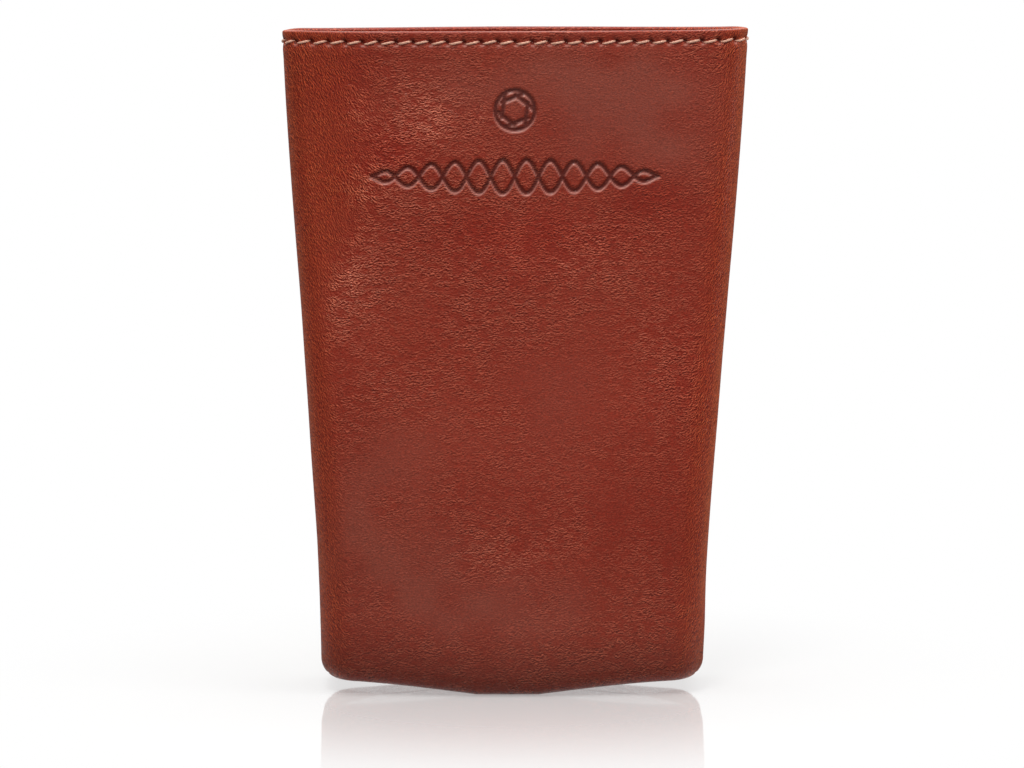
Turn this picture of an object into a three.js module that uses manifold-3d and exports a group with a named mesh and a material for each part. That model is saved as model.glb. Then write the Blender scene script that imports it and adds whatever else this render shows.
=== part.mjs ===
// Slip case in smooth vegetable-tanned leather, about pocket-camera size: a flat mouth above a boxed base.
//
// The case is two bags. The outer bag is a front and a back panel, sewn right sides together down both
// sides, under the base and across the two base corners, then turned. The lining bag is sewn the same way
// and dropped inside. A board keeps the base open, an interlining firms each wall, a tape steadies each
// half of the mouth, and one row of lockstitch topstitching joins everything round the mouth.
//
// Frame: millimetres, +Z up, the front faces -Y, and the origin is under the middle of the base.

import * as THREE from "three";
import { mergeVertices } from "three/addons/utils/BufferGeometryUtils.js";
import Module from "manifold-3d";

const wasm = await Module();
wasm.setup();

// ---- Driving dimensions, mm ----

const HEIGHT = 125;
const MOUTH_WIDTH = 88;
const BASE_WIDTH = 72.5;

// Each level section is two shallow arcs (the faces) joined by rounded sides.
const MOUTH_SIDE_RADIUS = 4;
const BASE_SIDE_RADIUS = 7;
const MOUTH_BULGE = 2.4;
const BASE_BULGE = 2.2;
const BASE_EDGE_RADIUS = 4;

// The base sags: flat in the middle, with its ends this much higher.
const SAG = 2;
const SAG_FLAT = 6.6;
const SAG_END = 30;
const SAG_REACH = 45;

// Layers through the wall, as depths below the outer face.
const OUTER_LEATHER = 1.1;
const INTERLINING = [1.2, 2.1];
const TAPE = [1.2, 1.4];
const HEM = [1.5, 2.1];
const SEAM_ALLOWANCE = [1.1, 2.1];
const LINING = [2.2, 2.8];

// Layers through the base, as heights above the underside.
const BASE_ALLOWANCE_TOP = 1.9;
const BOARD = [2.0, 3.0];
const BASE_LINING = [3.1, 3.7];

const HEM_DEPTH = 9;
const LINING_DROP = 0.9;
const SIDE_ALLOWANCE = 6;
const BASE_ALLOWANCE = 5;
const CORNER_ALLOWANCE = 8;
const SEAM_GAP = 0.2;
const CLEARANCE = 0.12;
const LINING_CLEARANCE = 0.08;

const INTERLINING_SIDE = 7.5;
const INTERLINING_FOOT = 9;
const INTERLINING_HEAD = HEM_DEPTH + 1.5;
const BOARD_INSET = 4.2;
const TAPE_SIDE = 3;

// Topstitching: one ring of lockstitch, needle thread outside and bobbin thread inside.
const STITCHES = 58;
const STITCH_DROP = 2.1;
const STITCH_SLANT = 0.27;
const NEEDLE_THREAD = { radius: 0.3, depths: [-0.05, 0.2] };
const BOBBIN_THREAD = { radius: 0.2, depths: [2.95, 2.8] };

// Hidden seams: the threads lie between the two panels of their bag.
const OUTER_SEAM = { radius: 0.3, depth: 1.3, floor: 1.2 };
const LINING_SEAM = { radius: 0.14, depth: 2.5, floor: 3.4 };
const SEAM_FOOT = 7.5;
const SEAM_HEAD = STITCH_DROP + 2.4;
const BASE_SEAM_INSET = 7.5;
const CORNER_SEAM_OVERRUN = 2;

// Facets: the face steps put a vertex line at the edge of the base's flat middle.
const FACE_STEPS = [0, 0.22, 0.45, 0.72, 1];
const SIDE_ARC_STEPS = 3;
const BASE_ARC_STEPS = 3;
const LEVELS = [18, 36, 56, 78, 102];
const THREAD_SIDES = 6;
const STITCH_THREAD_SIDES = 4;

// ---- Materials ----

const material = (color, roughness) =>
  new THREE.MeshStandardMaterial({ color, roughness, metalness: 0 });

const leather = material(0x8a3a28, 0.42);
const lining = material(0x5e3422, 0.85);
const thread = material(0xc79a80, 0.7);
const hiddenThread = material(0x6b3a2a, 0.75);
const board = material(0x8c7a62, 0.95);
const interlining = material(0xa58f74, 0.95);
const tape = material(0xd8cfc0, 0.9);

// ---- Section of the case at one height ----

const lerp = (a, b, t) => a + (b - a) * t;
const clamp01 = (t) => Math.min(1, Math.max(0, t));
const smooth = (t) => t * t * (3 - 2 * t);

/** Sizes of the outer section at height z, before the straight part of its sides is known. */
function arcs(z) {
  const t = clamp01(z / HEIGHT);
  const spread = 0.3 * t ** 2.4 + 0.7 * smooth(t);
  const halfWidth = lerp(BASE_WIDTH, MOUTH_WIDTH, spread) / 2;
  const radius = lerp(BASE_SIDE_RADIUS, MOUTH_SIDE_RADIUS, t);
  const bulge = lerp(BASE_BULGE, MOUTH_BULGE, t);
  // lean is the slope at which the face arc meets the side arc.
  let lean = 0;
  for (let pass = 0; pass < 5; pass++) {
    lean = 2 * Math.atan(bulge / (halfWidth - radius * (1 - Math.sin(lean))));
  }
  const chord = halfWidth - radius * (1 - Math.sin(lean));
  const faceRadius = chord / Math.sin(lean);
  const curved = faceRadius * lean + radius * (Math.PI / 2 - lean);
  return { halfWidth, radius, bulge, lean, faceRadius, curved };
}

// The girth is the same all the way down, so where the case is narrower its sides are deeper.
const QUARTER_GIRTH = arcs(HEIGHT).curved;

/** The outer section at height z: its arcs, the half length of its straight sides, and its half depth. */
function section(z) {
  const s = arcs(z);
  const straight = QUARTER_GIRTH - s.curved;
  const halfDepth = straight + s.radius * Math.cos(s.lean) + s.bulge;
  return { ...s, straight, halfDepth };
}

/** Quarter of a section, from the middle of the front face to the middle of the right side. */
function quarter(z) {
  const s = section(z);
  const points = [];
  const add = (x, y, angle) =>
    points.push({ x, y, nx: Math.sin(angle), ny: -Math.cos(angle) });
  for (const step of FACE_STEPS) {
    const angle = s.lean * step;
    const fromMiddle = s.faceRadius * (1 - Math.cos(angle));
    add(s.faceRadius * Math.sin(angle), fromMiddle - s.halfDepth, angle);
  }
  for (let i = 1; i <= SIDE_ARC_STEPS; i++) {
    const angle = lerp(s.lean, Math.PI / 2, i / SIDE_ARC_STEPS);
    const x = s.halfWidth - s.radius * (1 - Math.sin(angle));
    add(x, -s.straight - s.radius * Math.cos(angle), angle);
  }
  add(s.halfWidth, 0, Math.PI / 2);
  return points;
}

/**
 * Closed section at height z, moved inwards by depth. It starts at the middle of the left side and runs by
 * the front, the right side and the back.
 */
function ring(z, depth) {
  const right = quarter(z);
  const left = right.map((p) => ({ ...p, x: -p.x, nx: -p.nx })).reverse();
  const front = [...left.slice(0, -1), ...right];
  const back = front
    .slice(1, -1)
    .map((p) => ({ ...p, y: -p.y, ny: -p.ny }))
    .reverse();
  return [...front, ...back].map((p) => ({
    x: p.x - depth * p.nx,
    y: p.y - depth * p.ny,
    nx: p.nx,
    ny: p.ny,
  }));
}

/** How much the base's sag lifts a point. It fades out up the wall. */
function lift(x, z) {
  const out = clamp01((Math.abs(x) - SAG_FLAT) / (SAG_END - SAG_FLAT));
  const fade = 1 - smooth(clamp01(z / SAG_REACH));
  return SAG * Math.sin((out * Math.PI) / 2) * fade;
}

// ---- Solids ----

/** A closed BufferGeometry from points and triangles of their indices. */
function geometryOf(points, triangles) {
  const geometry = new THREE.BufferGeometry();
  geometry.setAttribute(
    "position",
    new THREE.Float32BufferAttribute(points.flat(), 3),
  );
  geometry.setIndex(triangles.flat());
  return geometry;
}

/** A manifold solid from a closed three.js geometry. */
function solid(geometry) {
  const bare = geometry.clone();
  bare.deleteAttribute("normal");
  bare.deleteAttribute("uv");
  const merged = mergeVertices(bare, 1e-4);
  return new wasm.Manifold(
    new wasm.Mesh({
      numProp: 3,
      vertProperties: merged.attributes.position.array,
      triVerts: new Uint32Array(merged.index.array),
    }),
  );
}

/** A named mesh from a manifold solid. */
function piece(name, made, look) {
  const { vertProperties, triVerts, numProp } = made.getMesh();
  const points = [];
  for (let i = 0; i < vertProperties.length; i += numProp) {
    points.push([...vertProperties.slice(i, i + 3)]);
  }
  const geometry = geometryOf(points, [[...triVerts]]);
  geometry.computeVertexNormals();
  const mesh = new THREE.Mesh(geometry, look);
  mesh.name = name;
  return mesh;
}

/** Solid between stacked rings. Its ends are closed by strips from front to back, so they follow the sag. */
function loft(rings) {
  const n = rings[0].length;
  const half = n / 2;
  const points = rings.flat().map((p) => [p.x, p.y, p.z + lift(p.x, p.z)]);
  const triangles = [];
  for (let r = 0; r + 1 < rings.length; r++) {
    for (let i = 0; i < n; i++) {
      const a = r * n + i;
      const b = r * n + ((i + 1) % n);
      triangles.push([a, b, b + n], [a, b + n, a + n]);
    }
  }
  const top = (rings.length - 1) * n;
  for (let i = 0; i < half; i++) {
    const [a, b] = [i, i + 1];
    const [c, d] = [(n - i - 1) % n, (n - i) % n];
    if (b !== c) {
      triangles.push([a, c, b], [top + a, top + b, top + c]);
    }
    if (a !== d) {
      triangles.push([a, d, c], [top + a, top + c, top + d]);
    }
  }
  return solid(geometryOf(points, triangles));
}

/** The space inside the case at this depth, from floor up to top, with its rounded lower edge. */
function space(depth, floor, top) {
  const edge = BASE_EDGE_RADIUS - depth;
  const rings = [];
  for (let i = 0; i <= BASE_ARC_STEPS; i++) {
    const angle = ((1 - i / BASE_ARC_STEPS) * Math.PI) / 2;
    const z = floor + edge * (1 - Math.sin(angle));
    const inset = depth + edge * (1 - Math.cos(angle));
    rings.push(ring(z, inset).map((p) => ({ ...p, z })));
  }
  for (const z of [...LEVELS, top]) {
    rings.push(ring(z, depth).map((p) => ({ ...p, z })));
  }
  return loft(rings);
}

/** The case's section at this depth, run from one height to another. */
const column = (depth, low, high) =>
  loft([low, high].map((z) => ring(z, depth).map((p) => ({ ...p, z }))));

/** A band of the wall between two depths and two heights, open at both ends. */
const band = ([outer, inner], low, high) =>
  column(outer, low, high).subtract(column(inner, low - 1, high + 1));

/** What lies at least inset in from the case's sides between two heights, seen from the front. */
function frontView(inset, low, high, fromY, toY) {
  const lowHalf = section(low).halfWidth - inset;
  const highHalf = section(high).halfWidth - inset;
  const shape = new THREE.Shape();
  shape.moveTo(-lowHalf, low);
  shape.lineTo(lowHalf, low);
  shape.lineTo(highHalf, high);
  shape.lineTo(-highHalf, high);
  shape.closePath();
  const geometry = new THREE.ExtrudeGeometry(shape, {
    depth: toY - fromY,
    bevelEnabled: false,
  });
  geometry.rotateX(Math.PI / 2);
  geometry.translate(0, toY, 0);
  return solid(geometry);
}

/** Solid box between two corners. */
function block(low, high) {
  const size = high.map((v, i) => v - low[i]);
  const geometry = new THREE.BoxGeometry(...size);
  geometry.translate(...low.map((v, i) => v + size[i] / 2));
  return solid(geometry);
}

const FAR = 100;
const frontHalf = block([-FAR, -FAR, -FAR], [FAR, -SEAM_GAP / 2, 2 * FAR]);
const backHalf = block([-FAR, SEAM_GAP / 2, -FAR], [FAR, FAR, 2 * FAR]);

// ---- Threads ----

/** Straight-ended tube along a smooth curve through points. */
function tube(points, radius, steps) {
  const circle = new THREE.Shape();
  circle.absarc(0, 0, radius, 0, Math.PI * 2);
  const path = new THREE.CatmullRomCurve3(points);
  return solid(
    new THREE.ExtrudeGeometry(circle, {
      curveSegments: THREAD_SIDES / 2,
      steps,
      extrudePath: path,
      bevelEnabled: false,
    }),
  );
}

/** Evenly spread points from place(from) to place(to). */
const spread = (count, from, to, place) =>
  Array.from({ length: count }, (_, i) => place(lerp(from, to, i / (count - 1))));

/** Thread of a side seam, between the two panels. */
function sideSeam(sign, depth, radius) {
  const points = spread(7, SEAM_FOOT, HEIGHT - SEAM_HEAD, (z) => {
    const x = sign * (section(z).halfWidth - depth);
    return new THREE.Vector3(x, 0, z + lift(x, z));
  });
  return tube(points, radius, 6);
}

/** Thread of the seam under the base, at this height above the underside. */
function baseSeam(height, radius) {
  const reach = BASE_WIDTH / 2 - BASE_SEAM_INSET;
  const points = spread(
    9,
    -reach,
    reach,
    (x) => new THREE.Vector3(x, 0, height + lift(x, height)),
  );
  return tube(points, radius, 12);
}

/** Thread of the seam across one base corner, from front to back along the lower edge. */
function cornerSeam(sign, depth, floor, radius) {
  const inwards = (BASE_EDGE_RADIUS - depth) * (1 - Math.SQRT1_2);
  const z = floor + inwards;
  const { halfWidth, straight } = section(z);
  const x = sign * (halfWidth - depth - inwards);
  const reach = straight + CORNER_SEAM_OVERRUN;
  const points = spread(
    3,
    -reach,
    reach,
    (y) => new THREE.Vector3(x, y, z + lift(x, z)),
  );
  return tube(points, radius, 2);
}

/** Position round the section at height z, by distance from the middle of the left side, at this depth. */
function aroundMouth(z, depth) {
  const points = ring(z, depth);
  const closed = [...points, points[0]];
  const along = [0];
  for (let i = 1; i < closed.length; i++) {
    const [a, b] = [closed[i - 1], closed[i]];
    along.push(along[i - 1] + Math.hypot(b.x - a.x, b.y - a.y));
  }
  const girth = along[along.length - 1];
  return (share) => {
    const s = (((share % 1) + 1) % 1) * girth;
    const i = Math.max(1, along.findIndex((d) => d >= s));
    const t = (s - along[i - 1]) / (along[i] - along[i - 1]);
    const [a, b] = [closed[i - 1], closed[i]];
    return new THREE.Vector2(lerp(a.x, b.x, t), lerp(a.y, b.y, t));
  };
}

/** Closed thread of the topstitching: each stitch dips at its hole and lies slanted between holes. */
function stitchRing({ radius, depths: [lieDepth, holeDepth] }) {
  const z = HEIGHT - STITCH_DROP;
  const hole = aroundMouth(z, holeDepth);
  const lie = aroundMouth(z, lieDepth);
  const path = [];
  const add = (p, height) => path.push(new THREE.Vector3(p.x, p.y, height));
  for (let i = 0; i < STITCHES; i++) {
    add(lie((i - 0.26) / STITCHES), z - STITCH_SLANT);
    add(lie((i + 0.26) / STITCHES), z + STITCH_SLANT);
    add(hole((i + 0.5) / STITCHES), z);
  }
  return closedTube(path, radius);
}

/** The channel that a ring of topstitching is pulled into, between two depths. */
function stitchChannel(depths, radius) {
  const middle = HEIGHT - STITCH_DROP;
  const reach = STITCH_SLANT + radius + CLEARANCE;
  return band(depths, middle - reach, middle + reach);
}

/** Tube round a closed chain of points. */
function closedTube(path, radius) {
  const n = path.length;
  const sides = STITCH_THREAD_SIDES;
  const points = [];
  const triangles = [];
  const up = new THREE.Vector3(0, 0, 1);
  path.forEach((p, i) => {
    const along = path[(i + 1) % n].clone().sub(path[(i + n - 1) % n]);
    const out = along.cross(up).normalize();
    for (let k = 0; k < sides; k++) {
      const angle = (k / sides) * Math.PI * 2;
      const v = p
        .clone()
        .addScaledVector(out, radius * Math.cos(angle))
        .addScaledVector(up, radius * Math.sin(angle));
      points.push(v.toArray());
      const next = (k + 1) % sides;
      const [a, b] = [i * sides + k, i * sides + next];
      const shift = ((i + 1) % n) * sides;
      triangles.push([a, shift + k, shift + next], [a, shift + next, b]);
    }
  });
  return solid(geometryOf(points, triangles));
}

/** The hidden seam threads of one bag, by node name. */
function seamThreads({ depth, floor, radius }, names) {
  const threads = [
    sideSeam(-1, depth, radius),
    sideSeam(1, depth, radius),
    baseSeam(floor, radius),
    cornerSeam(-1, depth, floor, radius),
    cornerSeam(1, depth, floor, radius),
  ];
  return Object.fromEntries(names.map((name, i) => [name, threads[i]]));
}

/** Channels for the same threads, with a little clearance. */
function seamChannels(seam, clearance) {
  const wide = { ...seam, radius: seam.radius + clearance };
  return Object.values(seamThreads(wide, OUTER_SEAM_NAMES));
}

const OUTER_SEAM_NAMES = [
  "side_seam_thread_left",
  "side_seam_thread_right",
  "base_seam_thread",
  "corner_seam_thread_left",
  "corner_seam_thread_right",
];
const LINING_SEAM_NAMES = [
  "lining_seam_thread_left",
  "lining_seam_thread_right",
  "lining_base_seam_thread",
  "lining_corner_thread_left",
  "lining_corner_thread_right",
];

const cutAll = (body, cutters) =>
  cutters.reduce((left, cutter) => left.subtract(cutter), body);
const joinAll = (body, others) =>
  others.reduce((sum, other) => sum.add(other), body);

// ---- Outer bag ----

/** Seam allowances of the outer bag, pressed open against the inside of its leather. */
function allowances() {
  const layer = space(0, 0, HEIGHT - HEM_DEPTH).subtract(
    space(SEAM_ALLOWANCE[1], BASE_ALLOWANCE_TOP, HEIGHT + 1),
  );
  const sides = block([-FAR, -BASE_ALLOWANCE, 0], [FAR, BASE_ALLOWANCE, HEIGHT])
    .subtract(frontView(SIDE_ALLOWANCE, BASE_ALLOWANCE_TOP + 2, HEIGHT, -FAR, FAR));
  const corners = [-1, 1].map((sign) => {
    const x = [sign * (BASE_WIDTH / 2 - CORNER_ALLOWANCE), sign * FAR];
    return block(
      [Math.min(...x), -FAR, 0],
      [Math.max(...x), FAR, CORNER_ALLOWANCE],
    );
  });
  return layer.intersect(joinAll(sides, corners));
}

/** Wall and base, seam allowances, and the hem folded in at the mouth. */
function outerBag() {
  const hollow = space(OUTER_LEATHER, OUTER_LEATHER, HEIGHT - OUTER_LEATHER);
  const mouth = column(HEM[1], HEIGHT - 2 * OUTER_LEATHER, HEIGHT + 1);
  const hem = band(HEM, HEIGHT - HEM_DEPTH, HEIGHT - OUTER_LEATHER / 2);
  const wall = space(0, 0, HEIGHT).subtract(hollow).subtract(mouth);
  return joinAll(wall, [allowances(), hem]);
}

function outerPanels() {
  const { radius, depths } = NEEDLE_THREAD;
  const bag = cutAll(outerBag(), [
    ...seamChannels(OUTER_SEAM, CLEARANCE),
    stitchChannel([-1, depths[1] + radius + CLEARANCE], radius),
  ]);
  return [
    piece("front_panel", bag.intersect(frontHalf), leather),
    piece("back_panel", bag.intersect(backHalf), leather),
  ];
}

// ---- Lining bag ----

function liningPanels() {
  const top = HEIGHT - LINING_DROP;
  const bag = space(LINING[0], BASE_LINING[0], top).subtract(
    space(LINING[1], BASE_LINING[1], HEIGHT + 1),
  );
  const { radius, depths } = BOBBIN_THREAD;
  const cut = cutAll(bag, [
    ...seamChannels(LINING_SEAM, LINING_CLEARANCE),
    stitchChannel([depths[1] - radius - CLEARANCE, LINING[1] + 1], radius),
  ]);
  return [
    piece("lining_front", cut.intersect(frontHalf), lining),
    piece("lining_back", cut.intersect(backHalf), lining),
  ];
}

// ---- Stiffening between the bags ----

/** Stiff non-woven between the bags, front and back. */
function interlinings() {
  const layer = space(INTERLINING[0], INTERLINING[0], HEIGHT).subtract(
    space(INTERLINING[1], INTERLINING[1], HEIGHT + 1),
  );
  const face = (fromY, toY) =>
    layer.intersect(
      frontView(INTERLINING_SIDE, INTERLINING_FOOT, HEIGHT - INTERLINING_HEAD, fromY, toY),
    );
  return [
    piece("front_interlining", face(-FAR, 0), interlining),
    piece("back_interlining", face(0, FAR), interlining),
  ];
}

/** Board that keeps the boxed base open. */
function baseBoard() {
  return piece("base_board", column(BOARD_INSET, ...BOARD), board);
}

/** Non-stretch tape folded into the hem. Each length stops short of the bulky side seams. */
function mouthTapes() {
  const low = HEIGHT - HEM_DEPTH + 0.5;
  const high = HEIGHT - OUTER_LEATHER - 0.2;
  const layer = band(TAPE, low, high);
  const face = (fromY, toY) =>
    layer.intersect(frontView(TAPE_SIDE, low - 1, high + 1, fromY, toY));
  return [
    piece("mouth_tape_front", face(-FAR, 0), tape),
    piece("mouth_tape_back", face(0, FAR), tape),
  ];
}

// ---- The case ----

const slipCase = new THREE.Group();
slipCase.add(...outerPanels(), ...liningPanels(), ...interlinings());
slipCase.add(baseBoard(), ...mouthTapes());
slipCase.add(piece("mouth_needle_thread", stitchRing(NEEDLE_THREAD), thread));
slipCase.add(piece("mouth_bobbin_thread", stitchRing(BOBBIN_THREAD), thread));
const seamNodes = {
  ...seamThreads(OUTER_SEAM, OUTER_SEAM_NAMES),
  ...seamThreads(LINING_SEAM, LINING_SEAM_NAMES),
};
for (const [name, made] of Object.entries(seamNodes)) {
  slipCase.add(piece(name, made, hiddenThread));
}

export default slipCase;
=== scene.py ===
"""Leather slip case for a pocket camera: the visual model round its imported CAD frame.

The case is rebuilt as the sewn thing it is: two leather panels with turned seams and a hem folded in at
the mouth, a lining bag inside them, and a ring of lockstitch. Work is in millimetres, in the CAD's own
frame: +Z up, the front faces -Y. Meshes are turned into metres as they are made.
"""

import math

import bpy
import numpy as np
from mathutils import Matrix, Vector


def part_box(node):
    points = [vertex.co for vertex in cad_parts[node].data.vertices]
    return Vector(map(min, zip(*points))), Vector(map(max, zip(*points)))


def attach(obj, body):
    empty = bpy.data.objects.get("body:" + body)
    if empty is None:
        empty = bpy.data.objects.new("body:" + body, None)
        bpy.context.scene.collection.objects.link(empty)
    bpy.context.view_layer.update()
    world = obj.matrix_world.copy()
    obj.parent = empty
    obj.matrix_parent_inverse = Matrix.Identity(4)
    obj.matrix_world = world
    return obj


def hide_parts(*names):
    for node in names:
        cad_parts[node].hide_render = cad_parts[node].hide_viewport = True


MM = 0.001

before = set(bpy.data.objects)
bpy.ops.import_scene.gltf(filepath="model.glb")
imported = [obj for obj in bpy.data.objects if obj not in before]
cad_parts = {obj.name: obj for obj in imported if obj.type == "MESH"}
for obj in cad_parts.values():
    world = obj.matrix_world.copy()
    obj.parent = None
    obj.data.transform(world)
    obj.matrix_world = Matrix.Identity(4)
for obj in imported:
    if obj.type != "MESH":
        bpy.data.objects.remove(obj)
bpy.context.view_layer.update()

# ---- Driving sizes, mm ----

_, panel_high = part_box("front_panel")
HEIGHT = panel_high.z / MM
MOUTH_WIDTH = 2 * panel_high.x / MM
BASE_WIDTH = MOUTH_WIDTH * 72.5 / 88

# Each level section is two shallow arcs, the faces, joined by rounded sides.
MOUTH_SIDE_RADIUS = 4
BASE_SIDE_RADIUS = 7
MOUTH_BULGE = 2.4
BASE_BULGE = 2.2
BASE_EDGE = 4

# The base sags: flat in the middle, a little left of centre, with its ends higher.
SAG = 2.35
SAG_FLAT = 5.8
SAG_SHIFT = 0.9
SAG_END = 36
SAG_REACH = 45

# Depths below the outer face, and heights above the underside.
LEATHER = 1.1
HEM_INNER = 2.1
HEM_OUTER = 1.5
HEM_DEPTH = 9
ALLOWANCE_DEPTH = 2.05
ALLOWANCE_WIDTH = 6
LINING = (2.2, 2.8)
LINING_FLOOR = (3.1, 3.7)
LINING_DROP = 0.9
SEAM_GAP = 0.01

# The mouth isn't cut quite level, and stands a little to the right of the base.
RIM_SLOPE = 0.16
RIM_CORNER_RISE = 0.4
RIM_LEFT_DIP = 0.2
RIM_BACK_RISE = 0.4
SWAY = 0.3

# Stitching round the mouth.
STITCHES = 58
STITCH_DROP = 2.1
STITCH_RISE = 0.25
COLUMNS_PER_STITCH = 12
THREAD_PLIES = 3

FRONT, BACK = -1, 1

# Swelling of the faces: its middle value, and its unevenness in broad and in finer waves.
SWELL = 0.2
SWELL_BROAD = 0.32
SWELL_FINE = 0.09
SWELL_SEEDS = {FRONT: 11, BACK: 37}

# ---- Small maths ----


def lerp(a, b, t):
    return a + (b - a) * t


def smooth(t):
    """Smooth step of t from 0 to 1."""
    t = np.clip(t, 0, 1)
    return t * t * (3 - 2 * t)


def hump(distance, width):
    """Bell curve, 1 at no distance."""
    return np.exp(-((distance / width) ** 2))


def steps(start, end, spacing):
    """Evenly spread values from start up to, but not at, end."""
    count = max(1, round(abs(end - start) / spacing))
    return np.linspace(start, end, count, endpoint=False)


def soft_noise(u, v, cell, seed):
    """Smooth random field over a plane, about -1 to 1, with features about cell across."""
    size = 64
    lattice = np.random.default_rng(seed).uniform(-1, 1, (size, size))
    u, v = np.asarray(u) / cell + size / 2, np.asarray(v) / cell + size / 2
    i, j = np.floor(u).astype(int), np.floor(v).astype(int)
    fu, fv = smooth(u - i), smooth(v - j)
    near = lerp(lattice[i % size, j % size], lattice[(i + 1) % size, j % size], fu)
    far = lerp(lattice[i % size, (j + 1) % size], lattice[(i + 1) % size, (j + 1) % size], fu)
    return lerp(near, far, fv)


# ---- The case's outer form ----


def arcs(z):
    """Half width, side radius, face lean, face radius and curved quarter length of the section at z."""
    t = np.clip(np.asarray(z, float) / HEIGHT, 0, 1)
    spread = 0.3 * t**2.4 + 0.7 * smooth(t)
    half_width = lerp(BASE_WIDTH, MOUTH_WIDTH, spread) / 2
    radius = lerp(BASE_SIDE_RADIUS, MOUTH_SIDE_RADIUS, t)
    bulge = lerp(BASE_BULGE, MOUTH_BULGE, t)
    lean = np.zeros_like(t)
    for _ in range(5):
        lean = 2 * np.arctan(bulge / (half_width - radius * (1 - np.sin(lean))))
    chord = half_width - radius * (1 - np.sin(lean))
    face_radius = chord / np.sin(lean)
    curved = face_radius * lean + radius * (math.pi / 2 - lean)
    return half_width, radius, bulge, lean, face_radius, curved


QUARTER = float(arcs(HEIGHT)[-1])
PITCH = 4 * QUARTER / STITCHES
STITCH_Z = HEIGHT - STITCH_DROP


def section_point(s, z):
    """Point and outward direction in the level section at z, s round from the middle of the front."""
    half_width, radius, bulge, lean, face_radius, curved = arcs(z)
    straight = QUARTER - curved
    half_depth = straight + radius * np.cos(lean) + bulge
    along = np.abs(s)
    face = face_radius * lean
    on_face = along <= face
    on_side = along >= curved
    angle = np.where(on_face, along / face_radius, lean + (along - face) / radius)
    angle = np.where(on_side, math.pi / 2, angle)
    x = np.where(
        on_face,
        face_radius * np.sin(angle),
        half_width - radius * (1 - np.sin(angle)),
    )
    y = np.where(
        on_face,
        half_depth - face_radius * (1 - np.cos(angle)),
        straight + radius * np.cos(angle),
    )
    y = np.where(on_side, QUARTER - along, y)
    sign = np.sign(s)
    return sign * x, y, sign * np.sin(angle), np.cos(angle)


def lift(x, z):
    """How much the base's sag lifts a point."""
    out = np.clip((np.abs(x + SAG_SHIFT) - SAG_FLAT) / (SAG_END - SAG_FLAT), 0, 1)
    return SAG * np.sin(out * math.pi / 2) * (1 - smooth(z / SAG_REACH))


def rim_rise(side, x, y, z):
    """How much a point near the rim is raised: more to the right, at the back and at the corners."""
    near_rim = smooth(2 * z / HEIGHT - 1)
    across = x / (MOUTH_WIDTH / 2)
    corners = RIM_CORNER_RISE * np.abs(across) ** 8 - RIM_LEFT_DIP * hump(across + 1, 0.05)
    back = RIM_BACK_RISE * smooth(y / 6) * (side == BACK)
    return near_rim * (RIM_SLOPE * across + corners + back)


def sway(z):
    """Sideways drift between the base and the mouth."""
    return lerp(-SWAY, SWAY, np.clip(z / HEIGHT, 0, 1))


def undulation(side, s, z):
    """Soft, uneven swelling of a panel's face. It fades out at the seams and the base."""
    seed = SWELL_SEEDS[side]
    broad = soft_noise(s, z, 26, seed)
    fine = soft_noise(s + 0.4 * z, z, 11, seed + 1)
    fade = smooth((QUARTER - np.abs(s)) / 9) * smooth(z / 12)
    return fade * (SWELL + SWELL_BROAD * broad + SWELL_FINE * fine)


# ---- Walls as grids: columns round the case, stations along a path up the wall ----

UNDER, OUT, OVER, IN = -math.pi / 2, 0, math.pi / 2, math.pi
FOLD_FLATNESS = 0.32


class Path:
    """Stations of a path up a wall.

    Each has a height, a depth, the tilt of its normal and its fill across the base.
    """

    def __init__(self):
        self.stations = []

    def base(self, z, fills, tilt):
        """Across the base: fill 0 is at the middle seam and 1 at the start of the rounded edge."""
        self.stations += [(z, BASE_EDGE, tilt, fill) for fill in fills]

    def edge(self, floor, depth, angles, inner=False):
        """Round the lower edge: angle 90 degrees is under the base and 0 is at the wall."""
        radius = BASE_EDGE - depth
        for angle in angles:
            z = floor + radius * (1 - math.sin(angle))
            inset = depth + radius * (1 - math.cos(angle))
            self.stations.append((z, inset, IN - angle if inner else -angle, 1))

    def wall(self, heights, depth, tilt):
        """Straight up or down the wall."""
        self.stations += [(z, depth, tilt, 1) for z in heights]

    def fold(self, top, outer, inner, angles):
        """Over the top, flattened: angle 0 faces out and 180 degrees faces in."""
        radius = (inner - outer) / 2
        for angle in angles:
            z = top - FOLD_FLATNESS * radius * (1 - math.sin(angle))
            self.stations.append((z, outer + radius * (1 - math.cos(angle)), angle, 1))

    def rows(self):
        """Height, depth, tilt and fill, each as one row."""
        return [np.array(values, float)[None, :] for values in zip(*self.stations)]


def place(side, s, path, push):
    """Points in mm of a wall's grid, with each pushed along its own normal."""
    z, depth, tilt, fill = path.rows()
    x, y, nx, ny = section_point(s, z)
    seam_x = s / QUARTER * (BASE_WIDTH / 2 - BASE_EDGE)
    out = np.cos(tilt) * push - depth
    x = lerp(seam_x, x + nx * out, fill)
    y = np.maximum((y + ny * out) * fill, SEAM_GAP)
    risen = z + np.sin(tilt) * push + lift(x, z) + rim_rise(side, x, y, z)
    return np.stack(np.broadcast_arrays(x + sway(z), side * y, risen), axis=-1)


# ---- Meshes ----


def make_mesh(name, points, faces, attributes=None):
    """Mesh object from points in mm and faces, with float attributes at its points."""
    mesh = bpy.data.meshes.new(name)
    mesh.from_pydata((np.asarray(points) * MM).tolist(), [], faces)
    for key, values in (attributes or {}).items():
        layer = mesh.attributes.new(key, "FLOAT", "POINT")
        layer.data.foreach_set("value", np.asarray(values, np.float32).ravel())
    mesh.shade_smooth()
    piece = bpy.data.objects.new(name, mesh)
    bpy.context.scene.collection.objects.link(piece)
    return piece


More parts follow.
